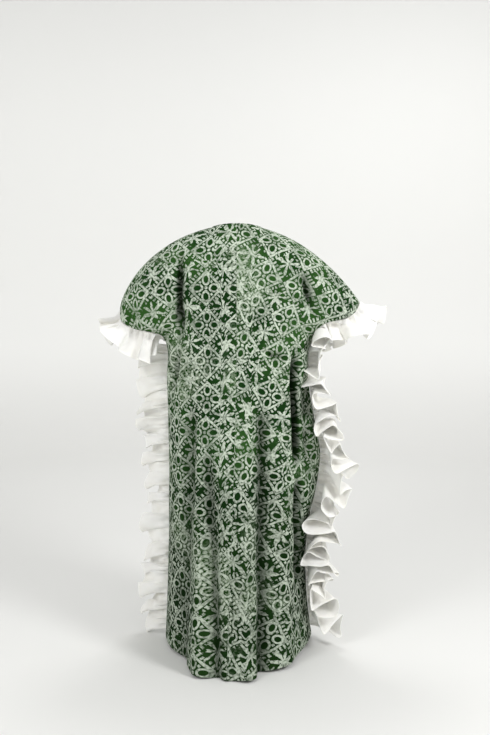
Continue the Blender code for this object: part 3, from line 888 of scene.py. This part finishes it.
# The leafy cells: a sprig of fingers, and strokes in a band along the cell's sides, broken here and there
LEAF_NOISE = 4.5
LEAF_APART = 9
SPRIG_TURN = 6.28
FINGERS = 7
FINGER_TWIST = 5
FINGER_REACH = 0.105
FINGER_RAGGED = 0.50
SPRIG_SPOT = (0.178, 0.03)
STROKES = 7
STROKE_RAGGED = 0.5
STROKE_LINE = (0.27, 0.12)
BAND_PLACE = 0.080
BAND_RAGGED = 0.08
BAND_LINE = (0.066, 0.03)
BREAKS = (-0.42, 0.06)
# Each printing block covers this many repeats and lands a little off its place. The cloth gives a little too.
BLOCK_WIDE = 3
BLOCK_TALL = 2
BLOCK_STARTS = 0.35
BLOCK_SLIP = 0.14
GIVE_NOISE = 1.1
GIVE_REACH = 0.12
# How unevenly the ink lies: in specks and in larger spots, each as its spread and its middle
UNEVEN_NOISE = 2.3
SPECK_NOISE = 16
INK_IN_SPECKS = (2.3, 0.75)
INK_IN_SPOTS = (1.6, 0.92)
# The pale worn patches, and the specks that they are made of
HAZE_NOISE = 0.42
HAZE_PATCH = (-0.62, 0.14)
HAZE_SPECKS = (-0.50, 0.16)


def diamond_motif(over, down):
    """Four oval rings round a dot, with a small wedge in each corner between them."""
    wide, tall = over.size(), down.size()
    above = (over / RING_NARROW).length_with((tall - RING_ABOVE) / RING_LONG)
    beside = ((wide - RING_BESIDE) / RING_LONG).length_with(down / RING_NARROW)
    rings = (above - 1).size().below(*RING_LINE).greater((beside - 1).size().below(*RING_LINE))
    wedges = ((wide - WEDGE_PLACE).size() + (tall - WEDGE_PLACE).size()).below(*WEDGE_SPOT)
    dot = over.length_with(down).below(*DOT_SPOT)
    return rings.greater(wedges).greater(dot)


def leaf_motif(tree, over, down, along, edge, cell):
    """A sprig of fat fingers, and broken strokes that point in from the cell's sides."""
    where = joined(tree, over + cell[0] * LEAF_APART, down + cell[1] * LEAF_APART)
    ragged = channels(tree, noise(tree, where, LEAF_NOISE, PRINT_DETAIL).outputs["Color"])
    turn = down.with_node("ARCTAN2", over) + cell[2] * SPRIG_TURN
    fingers = (turn * FINGERS + ragged[0] * FINGER_TWIST).with_node("COSINE")
    out = over.length_with(down) - fingers * FINGER_REACH - (ragged[1] - 0.5) * FINGER_RAGGED
    sprig = out.below(*SPRIG_SPOT)
    strokes = (along * STROKES + cell[0] + ragged[1] * STROKE_RAGGED).part() - 0.5
    band = edge - BAND_PLACE - (ragged[0] - 0.5) * BAND_RAGGED
    broken = (ragged[2] * -1).below(*BREAKS)
    return sprig.greater(strokes.size().below(*STROKE_LINE) * band.size().below(*BAND_LINE) * broken)


def uneven_ink(amount, spread):
    """A factor about the spread's middle, from noise that is about 0.5."""
    return (amount - 0.5) * spread[0] + spread[1]


def block_print():
    """Pale block print: a net of diamonds, with rings in every other one and leaves in the rest.

    Ink is how much print colour lies at a point of the flat cloth, and Haze how worn the green is there.
    """
    tree, inputs, outputs = new_group(
        "block_print",
        (("Cloth", "NodeSocketVector", None), ("Pitch", "NodeSocketFloat", PRINT_PITCH)),
        (("Ink", "NodeSocketFloat"), ("Haze", "NodeSocketFloat")),
    )
    scaled = tree.nodes.new("ShaderNodeVectorMath")
    scaled.operation = "DIVIDE"
    tree.links.new(inputs.outputs["Cloth"], scaled.inputs[0])
    pitch = Sum(tree, inputs.outputs["Pitch"])
    tree.links.new(joined(tree, pitch, pitch, pitch), scaled.inputs[1])
    place = scaled.outputs[0]

    def noise_channels(scale, detail=PRINT_DETAIL):
        return channels(tree, noise(tree, place, scale, detail).outputs["Color"])

    over, down, _ = axes(tree, place)
    block = chance_of(tree, (over / BLOCK_WIDE).whole(), (down / BLOCK_TALL + BLOCK_STARTS).whole())
    give = noise_channels(GIVE_NOISE, PLAIN_DETAIL)
    over = over + (block[0] - 0.5) * BLOCK_SLIP + (give[0] - 0.5) * GIVE_REACH
    down = down + (block[1] - 0.5) * BLOCK_SLIP + (give[1] - 0.5) * GIVE_REACH
    rising, falling = over + down + 0.5, over - down + 0.5
    cell = chance_of(tree, rising.whole(), falling.whole())
    leafy = ((rising.whole() + falling.whole()) / 2).part() * 2
    rising, falling = rising.part() - 0.5, falling.part() - 0.5
    over, down = (rising + falling) / 2, (rising - falling) / 2
    edge = rising.size().greater(falling.size()) * -1 + 0.5
    steep = (falling.size() - rising.size()).below(0, HARD)
    along = falling * steep + rising * (steep * -1 + 1)
    uneven = noise_channels(UNEVEN_NOISE)
    border = (edge - BORDER_PLACE - (uneven[0] - 0.5) * BORDER_RAGGED).size().below(*BORDER_LINE)
    heavy = (rising + (uneven[1] - 0.5) * HEAVY_RAGGED).below(*HEAVY_LINE)
    motif = diamond_motif(over, down)
    leaves = leaf_motif(tree, over, down, along, edge, cell)
    ink = motif.greater(border).greater(heavy) * (leafy * -1 + 1) + leaves * leafy
    specks = noise_channels(SPECK_NOISE)
    ink = ink * uneven_ink(specks[0], INK_IN_SPECKS) * uneven_ink(uneven[2], INK_IN_SPOTS)
    patches = noise_channels(HAZE_NOISE)
    haze = (patches[2] * -1).below(*HAZE_PATCH) * (specks[1] * -1).below(*HAZE_SPECKS)
    tree.links.new(ink.socket, outputs.inputs["Ink"])
    tree.links.new(haze.socket, outputs.inputs["Haze"])
    return tree


def plain_weave():
    """The height of a plain weave's crossing threads, from the cloth's flat coordinates."""
    tree, inputs, outputs = new_group(
        "plain_weave",
        (("Cloth", "NodeSocketVector", None), ("Threads a Metre", "NodeSocketFloat", 1000.0)),
        (("Height", "NodeSocketFloat"),),
    )
    over, down, _ = axes(tree, inputs.outputs["Cloth"])
    turns = Sum(tree, inputs.outputs["Threads a Metre"]) * math.pi
    warp = (over * turns).with_node("SINE")
    weft = (down * turns).with_node("SINE")
    height = (warp * weft) * 0.5 + 0.5
    tree.links.new(height.socket, outputs.inputs["Height"])
    return tree


def cut_place(tree):
    """Where a point of the piece lies in the flat cloth, from its UV map."""
    node = tree.nodes.new("ShaderNodeUVMap")
    node.uv_map = "cut"
    return node.outputs[0]


def used_group(tree, group, **values):
    """A node group placed in a material, fed with the place in the flat cloth and with its own values."""
    node = tree.nodes.new("ShaderNodeGroup")
    node.node_tree = group
    tree.links.new(cut_place(tree), node.inputs["Cloth"])
    for name, value in values.items():
        node.inputs[name.replace("_", " ")].default_value = value
    return node


def mixed(tree, share, first, second):
    """A colour between two, each a colour or a socket."""
    node = tree.nodes.new("ShaderNodeMix")
    node.data_type = "RGBA"
    places = [socket for socket in node.inputs if socket.type == "RGBA"]
    factor = next(socket for socket in node.inputs if socket.type == "VALUE")
    for place, value in ((factor, share), (places[0], first), (places[1], second)):
        if isinstance(value, tuple):
            place.default_value = (*value, 1)
        elif isinstance(value, float):
            place.default_value = value
        else:
            tree.links.new(value, place)
    return next(socket for socket in node.outputs if socket.type == "RGBA")


# How much light any of the cloths mirrors
CLOTH_GLOSS = 0.06


def matte(name, roughness, sheen=0.0, gloss=CLOTH_GLOSS):
    """A new matte material, its tree and its shader."""
    material = bpy.data.materials.new(name)
    material.use_nodes = True
    tree = material.node_tree
    shader = tree.nodes["Principled BSDF"]
    shader.inputs["Roughness"].default_value = roughness
    shader.inputs["Sheen Weight"].default_value = sheen
    shader.inputs["Specular IOR Level"].default_value = gloss
    return material, tree, shader


def raised(tree, shader, height, distance, strength):
    """Feeds a height into the shader's normal."""
    bump = tree.nodes.new("ShaderNodeBump")
    bump.inputs["Distance"].default_value = distance
    bump.inputs["Strength"].default_value = strength
    tree.links.new(height.socket, bump.inputs["Height"])
    tree.links.new(bump.outputs[0], shader.inputs["Normal"])


# The dye's two greens and the one with painted shade near the hem, the print high up and with painted shade
# low down, and the worn patches
GREEN_DEEP = (0.006, 0.029, 0.005)
GREEN_LIGHT = (0.026, 0.078, 0.016)
GREEN_SHADED_LOW = (0.002, 0.009, 0.001)
PRINT_PALE = (0.53, 0.590, 0.495)
PRINT_SHADED_LOW = (0.44, 0.495, 0.41)
HAZE_PALE = (0.40, 0.48, 0.35)
# The cotton's reverse, and the painted shade deep in a fold
REVERSE = (0.13, 0.19, 0.11)
PAINTED_FOLD_SHADE = (0.002, 0.008, 0.001)
# Heights above the floor between which the painted shade on the dye and the print fades from its full strength
# low down to none high up
SHADED_BELOW = 0.38
UNSHADED_ABOVE = 0.80
# The ruffles' two whites, and how far light travels inside their thin cloth
WHITE_WARM = (0.94, 0.935, 0.90)
WHITE_CREAM = (0.90, 0.885, 0.825)
RUFFLE_GLOW = 0.004
# The panels' cloth: how rough it is, its threads a metre, and the noise that mottles its dye
COTTON_ROUGH = 0.95
COTTON_THREADS = 900.0
DYE_NOISE = 5
DYE_DETAIL = 5
DYE_SPLIT = (0.5, 0.35)
# How much of the second colour shows: painted shade low down, in worn patches, on the reverse, and painted
# shade deep in a fold
LOW_SHADE_SHARE = 0.6
HAZE_SHARE = 0.45
REVERSE_SHARE = 0.62
FOLD_SHADE_SHARE = 0.8
# What stands up from the cotton: its weave and the ink on it, then how far, and how strongly it shows
WEAVE_HEIGHT = 0.6
INK_HEIGHT = 0.4
COTTON_BUMP = (0.0003, 0.6)
# The ruffles' cloth, in the same way, with a glow of light through it and slubs in its threads
RUFFLE_ROUGH = 0.80
RUFFLE_SHEEN = 0.25
RUFFLE_GLOW_SHARE = 0.5
RUFFLE_GLOW_COLOURS = (1.0, 1.0, 0.9)
RUFFLE_THREADS = 1300.0
RUFFLE_PATCHES = 9
RUFFLE_SPLIT = (0.5, 0.5)
SLUB_NOISE = 90
RUFFLE_WEAVE_HEIGHT = 0.5
SLUB_HEIGHT = 0.8
RUFFLE_BUMP = (0.0004, 0.5)
# Sewing thread
THREAD_ROUGH = 0.6
THREAD_SHEEN = 0.2
THREAD_TWISTS = 9000
THREAD_SHADE = 0.8


def attribute(tree, name):
    """One of the numbers that a piece's mesh carries."""
    node = tree.nodes.new("ShaderNodeAttribute")
    node.attribute_name = name
    return Sum(tree, node.outputs["Fac"])


def object_place(tree):
    """x, y and z of a point of the piece."""
    return axes(tree, tree.nodes.new("ShaderNodeTexCoord").outputs["Object"])


def printed_cotton(weave):
    """The panels' green cotton: mottled dye, the pale print over it, painted shade low down, a faded reverse
    and painted shade in deep folds.
    """
    material, tree, shader = matte("printed_cotton", COTTON_ROUGH)
    pattern = used_group(tree, block_print(), Pitch=PRINT_PITCH)
    threads = used_group(tree, weave, Threads_a_Metre=COTTON_THREADS)
    place = cut_place(tree)
    dye = channels(tree, noise(tree, place, DYE_NOISE, DYE_DETAIL).outputs["Color"])
    # Painted shade: the dye and the print darken towards the hem
    low = object_place(tree)[2].below((SHADED_BELOW + UNSHADED_ABOVE) / 2 - SHOULDER_HEIGHT, UNSHADED_ABOVE - SHADED_BELOW)
    ground = mixed(tree, dye[0].below(*DYE_SPLIT).socket, GREEN_LIGHT, GREEN_DEEP)
    ground = mixed(tree, (low * LOW_SHADE_SHARE).socket, ground, GREEN_SHADED_LOW)
    ink, haze = Sum(tree, pattern.outputs["Ink"]), Sum(tree, pattern.outputs["Haze"])
    hazed = mixed(tree, (haze * HAZE_SHARE).socket, ground, HAZE_PALE)
    shown = mixed(tree, ink.socket, hazed, mixed(tree, low.socket, PRINT_PALE, PRINT_SHADED_LOW))
    faded = mixed(tree, (attribute(tree, "inner") * REVERSE_SHARE).socket, shown, REVERSE)
    # Painted shade: deep folds are darkened towards a near-black green
    shaded = mixed(tree, (attribute(tree, "shade") * FOLD_SHADE_SHARE).socket, faded, PAINTED_FOLD_SHADE)
    tree.links.new(shaded, shader.inputs["Base Color"])
    height = Sum(tree, threads.outputs["Height"]) * WEAVE_HEIGHT + ink * INK_HEIGHT
    raised(tree, shader, height, *COTTON_BUMP)
    return material


def ruffle_cloth(weave):
    """The ruffles' thin white cotton, warm white mottled with cream, which lets a little light through."""
    material, tree, shader = matte("white_ruffle_cloth", RUFFLE_ROUGH, RUFFLE_SHEEN)
    shader.inputs["Subsurface Weight"].default_value = RUFFLE_GLOW_SHARE
    shader.inputs["Subsurface Radius"].default_value = RUFFLE_GLOW_COLOURS
    shader.inputs["Subsurface Scale"].default_value = RUFFLE_GLOW
    threads = used_group(tree, weave, Threads_a_Metre=RUFFLE_THREADS)
    place = cut_place(tree)
    patches = channels(tree, noise(tree, place, RUFFLE_PATCHES, PRINT_DETAIL).outputs["Color"])
    colour = mixed(tree, patches[0].below(*RUFFLE_SPLIT).socket, WHITE_WARM, WHITE_CREAM)
    tree.links.new(colour, shader.inputs["Base Color"])
    slubs = channels(tree, noise(tree, place, SLUB_NOISE, PRINT_DETAIL).outputs["Color"])
    height = Sum(tree, threads.outputs["Height"]) * RUFFLE_WEAVE_HEIGHT + slubs[0] * SLUB_HEIGHT
    raised(tree, shader, height, *RUFFLE_BUMP)
    return material


def thread(name, colour):
    """Sewing thread: its strands' twist shows as a fine diagonal rib, painted as stripes of shade."""
    material, tree, shader = matte(name, THREAD_ROUGH, THREAD_SHEEN)
    x, y, z = object_place(tree)
    twist = ((x + y + z) * THREAD_TWISTS).with_node("SINE") * 0.5 + 0.5
    # Painted shade: the grooves of the twist are darker stripes
    dark = tuple(THREAD_SHADE * share for share in colour)
    tree.links.new(mixed(tree, twist.socket, dark, colour), shader.inputs["Base Color"])
    return material


# Stitches

# From one stitch to the next, a stitch's length and its thread, and how much the lengths differ
STITCH_PITCH = 0.0045
STITCH_LENGTH = 0.0030
THREAD_WIDTH = 0.0006
STITCH_UNEVEN = (0.8, 1.1)
# Stitches lie this far inside the edge of the turned hem, and this share of the cloth's thickness out
STITCH_INSIDE = 0.001
STITCH_OUT = 0.6
GREEN_THREAD = (0.05, 0.13, 0.04)
WHITE_THREAD = (0.80, 0.80, 0.76)
STITCH_SEED = 7


def stitch_tree():
    """Geometry nodes: a run of short stitches along every line of the mesh."""
    tree = bpy.data.node_groups.new("running_stitches", "GeometryNodeTree")
    sockets = {}
    for name, kind, value in (
        ("Lines", "NodeSocketGeometry", None),
        ("Pitch", "NodeSocketFloat", STITCH_PITCH),
        ("Stitch Length", "NodeSocketFloat", STITCH_LENGTH),
        ("Thread Width", "NodeSocketFloat", THREAD_WIDTH),
        ("Seed", "NodeSocketInt", STITCH_SEED),
        ("Thread", "NodeSocketMaterial", None),
    ):
        socket = tree.interface.new_socket(name, in_out="INPUT", socket_type=kind)
        if value is not None:
            socket.default_value = value
        sockets[name] = socket.identifier
    tree.interface.new_socket("Stitches", in_out="OUTPUT", socket_type="NodeSocketGeometry")
    made = {}
    for key, kind in (
        ("given", "NodeGroupInput"),
        ("curve", "GeometryNodeMeshToCurve"),
        ("spaced", "GeometryNodeResampleCurve"),
        ("tangent", "GeometryNodeInputTangent"),
        ("turned", "FunctionNodeAlignEulerToVector"),
        ("stitch", "GeometryNodeMeshIcoSphere"),
        ("uneven", "FunctionNodeRandomValue"),
        ("long", "ShaderNodeMath"),
        ("scale", "ShaderNodeCombineXYZ"),
        ("placed", "GeometryNodeInstanceOnPoints"),
        ("real", "GeometryNodeRealizeInstances"),
        ("smooth", "GeometryNodeSetShadeSmooth"),
        ("coloured", "GeometryNodeSetMaterial"),
        ("result", "NodeGroupOutput"),
    ):
        made[key] = tree.nodes.new(kind)
    made["spaced"].mode = "LENGTH"
    made["turned"].axis = "X"
    made["stitch"].inputs["Subdivisions"].default_value = 1
    made["stitch"].inputs["Radius"].default_value = 0.5
    made["uneven"].data_type = "FLOAT"
    made["uneven"].inputs[2].default_value = STITCH_UNEVEN[0]
    made["uneven"].inputs[3].default_value = STITCH_UNEVEN[1]
    made["long"].operation = "MULTIPLY"
    given, link = made["given"].outputs, tree.links.new
    link(given["Lines"], made["curve"].inputs[0])
    link(made["curve"].outputs[0], made["spaced"].inputs["Curve"])
    link(given["Pitch"], made["spaced"].inputs["Length"])
    link(made["spaced"].outputs[0], made["placed"].inputs["Points"])
    link(made["stitch"].outputs["Mesh"], made["placed"].inputs["Instance"])
    link(made["tangent"].outputs[0], made["turned"].inputs["Vector"])
    link(made["turned"].outputs[0], made["placed"].inputs["Rotation"])
    link(given["Seed"], made["uneven"].inputs["Seed"])
    link(made["uneven"].outputs[1], made["long"].inputs[0])
    link(given["Stitch Length"], made["long"].inputs[1])
    link(made["long"].outputs[0], made["scale"].inputs[0])
    link(given["Thread Width"], made["scale"].inputs[1])
    link(given["Thread Width"], made["scale"].inputs[2])
    link(made["scale"].outputs[0], made["placed"].inputs["Scale"])
    link(made["placed"].outputs[0], made["real"].inputs[0])
    link(made["real"].outputs[0], made["smooth"].inputs[0])
    link(made["smooth"].outputs[0], made["coloured"].inputs["Geometry"])
    link(given["Thread"], made["coloured"].inputs["Material"])
    link(made["coloured"].outputs[0], made["result"].inputs[0])
    return tree, sockets


def stitches(name, lines, tree, sockets, material):
    """One mesh of stitches along these lines of points."""
    corners, edges = [], []
    for line in lines:
        first = len(corners)
        corners += line.tolist()
        edges += [(first + k, first + k + 1) for k in range(len(line) - 1)]
    mesh = bpy.data.meshes.new(name + "_lines")
    mesh.from_pydata(corners, edges, [])
    guide = linked(name + "_lines", mesh)
    modifier = guide.modifiers.new("running_stitches", "NODES")
    modifier.node_group = tree
    modifier[sockets["Thread"]] = material
    graph = bpy.context.evaluated_depsgraph_get()
    made = bpy.data.meshes.new_from_object(guide.evaluated_get(graph), depsgraph=graph)
    made.name = name
    guide.modifiers.remove(modifier)
    bpy.data.objects.remove(guide)
    return linked(name, made)


def line_at(points, out, measure, at, lift):
    """The line over a sheet where a measure down each column reaches a value, lifted off its outer face."""
    line = []
    for column in range(points.shape[1]):
        order = np.argsort(measure[:, column])
        row = np.interp(at, measure[order, column], order)
        low = int(min(row, points.shape[0] - 2))
        part = row - low
        spot = points[low, column] * (1 - part) + points[low + 1, column] * part
        line.append(spot + out[low, column] * lift)
    return np.array(line)


# Stage, lights and camera

# The flat floor's reach, the wall's distance and its height above the floor
FLOOR_RADIUS = 3.3
WALL_RADIUS = 4.9
WALL_TOP = 4.6
FLOOR_RINGS = (0.02, 1.0, 2.2)
STAGE_STEPS = 17
STAGE_SIDES = 96
PAPER_ROUGH = 0.9
PAPER_GLOSS = 0.1
FLOOR_COLOUR = (0.765, 0.765, 0.75)
WALL_COLOUR = (0.885, 0.885, 0.87)
# The height above the floor by which the paper has gone from the one colour to the other
PALER_BY = 0.8


def stage():
    """A pale floor that runs up into a round wall all the way round, open at the top."""
    curve = WALL_RADIUS - FLOOR_RADIUS
    turns = np.linspace(0, math.pi / 2, STAGE_STEPS)
    bend = [(FLOOR_RADIUS + curve * math.sin(turn), curve * (1 - math.cos(turn))) for turn in turns]
    profile = [(radius, 0) for radius in FLOOR_RINGS] + bend + [(WALL_RADIUS, WALL_TOP)]
    around = STAGE_SIDES
    corners = [
        (r * math.cos(2 * math.pi * k / around), r * math.sin(2 * math.pi * k / around), h - SHOULDER_HEIGHT)
        for r, h in profile
        for k in range(around)
    ]
    faces = [tuple(range(around))]
    for ring in range(len(profile) - 1):
        for k in range(around):
            after = (k + 1) % around
            near, far = ring * around, (ring + 1) * around
            faces.append((near + k, far + k, far + after, near + after))
    mesh = bpy.data.meshes.new("studio_sweep")
    mesh.from_pydata(corners, [], faces)
    mesh.shade_smooth()
    material, tree, shader = matte("studio_paper", PAPER_ROUGH, gloss=PAPER_GLOSS)
    low = object_place(tree)[2].below(PALER_BY / 2 - SHOULDER_HEIGHT, PALER_BY)
    tree.links.new(mixed(tree, low.socket, WALL_COLOUR, FLOOR_COLOUR), shader.inputs["Base Color"])
    mesh.materials.append(material)
    sweep = linked("studio_sweep", mesh)


# Soft lights: where each stands, what it points at, its size and its power
LIGHTS = {
    "key": ((-2.2, 1.7, 0.9), (0.0, 0.0, -0.45), 0.9, 54),
    "fill": ((1.9, 2.3, 0.9), (0.0, 0.0, -0.4), 1.2, 34),
    "top": ((0.1, -1.0, 2.2), (0.0, 0.6, -1.44), 0.9, 24),
    "backdrop": ((-1.1, -2.2, 1.7), (-0.9, -4.8, 0.2), 1.2, 20),
    "backdrop_left": ((1.3, -2.2, 1.4), (1.2, -4.8, -0.2), 1.2, 7),
}
# The even light from all round
WORLD_STRENGTH = 0.61


def lights():
    for name, (place, aim, size, power) in LIGHTS.items():
        data = bpy.data.lights.new(name, "AREA")
        data.shape = "DISK"
        data.size = size
        data.energy = power
        light = linked(name, data)
        light.location = place
        light.rotation_euler = (Vector(aim) - Vector(place)).to_track_quat("-Z", "Y").to_euler()
    world = bpy.data.worlds.new("studio")
    bpy.context.scene.world = world
    world.use_nodes = True
    sky = world.node_tree.nodes["Background"]
    sky.inputs["Color"].default_value = (1, 1, 1, 1)
    sky.inputs["Strength"].default_value = WORLD_STRENGTH
    bpy.context.scene.view_settings.view_transform = "Standard"


def camera():
    data = bpy.data.cameras.new("photo_camera")
    data.sensor_width = SENSOR
    data.lens = FOCAL_PIXELS * SENSOR / FRAME_HEIGHT
    data.shift_y = FRAME_SHIFT / FRAME_HEIGHT
    seen = linked("photo_camera", data)
    seen.location = CAMERA_PLACE
    seen.rotation_euler = (math.pi / 2, 0, math.pi)
    bpy.context.scene.camera = seen


# Assembly


def dress_panels(material):
    """The three printed panels, and the lines that their hems are stitched along."""
    lines = []
    for name, face, half, turn, shift in (
        ("back_left", BACK, LEFT, 0.0, LEFT_SHIFT),
        ("back_right", BACK, RIGHT, RIGHT_TURN, RIGHT_SHIFT),
        ("front", FRONT, 0, 0.0, FRONT_SHIFT),
    ):
        piece, points, out, from_neck, from_hem = panel(name + "_cloth", face, half, turn, shift, material)
        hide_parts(name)
        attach(piece, "root")
        lift = COTTON * STITCH_OUT
        lines.append(line_at(points, out, from_hem, HEM_DEPTH + STITCH_INSIDE, lift))
        neck = np.abs(points[0, :, 0]) < NECK_HALF_WIDTH
        neck_hem = NECK_HEM_DEPTH + STITCH_INSIDE
        lines.append(line_at(points[:, neck], out[:, neck], from_neck[:, neck], neck_hem, lift))
    return lines


def dress_ruffles(material):
    """The four ruffles, and the lines that their free edges are stitched along."""
    lines = []
    for name, row in zip(RUFFLE_NAMES, zip(*RUFFLES.values())):
        piece, points, out = ruffle(name + "_cloth", row, material)
        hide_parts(name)
        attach(piece, "root")
        row_at = round(RUFFLE_ROWS * RUFFLE_STITCH_ROW)
        lines.append(points[row_at] + out[row_at] * RUFFLE_COTTON * STITCH_OUT)
    return lines


def main():
    camera()
    stage()
    lights()
    weave = plain_weave()
    tree, sockets = stitch_tree()
    green_thread = thread("green_thread", GREEN_THREAD)
    white_thread = thread("white_thread", WHITE_THREAD)
    panel_lines = dress_panels(printed_cotton(weave))
    ruffle_lines = dress_ruffles(ruffle_cloth(weave))
    for name, lines, material, slot in (
        ("hem_and_neck_stitches", panel_lines, green_thread, "printed_cotton"),
        ("ruffle_stitches", ruffle_lines, white_thread, "ruffle_cloth"),
    ):
        piece = stitches(name, lines, tree, sockets, material)
        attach(piece, "root")


main()
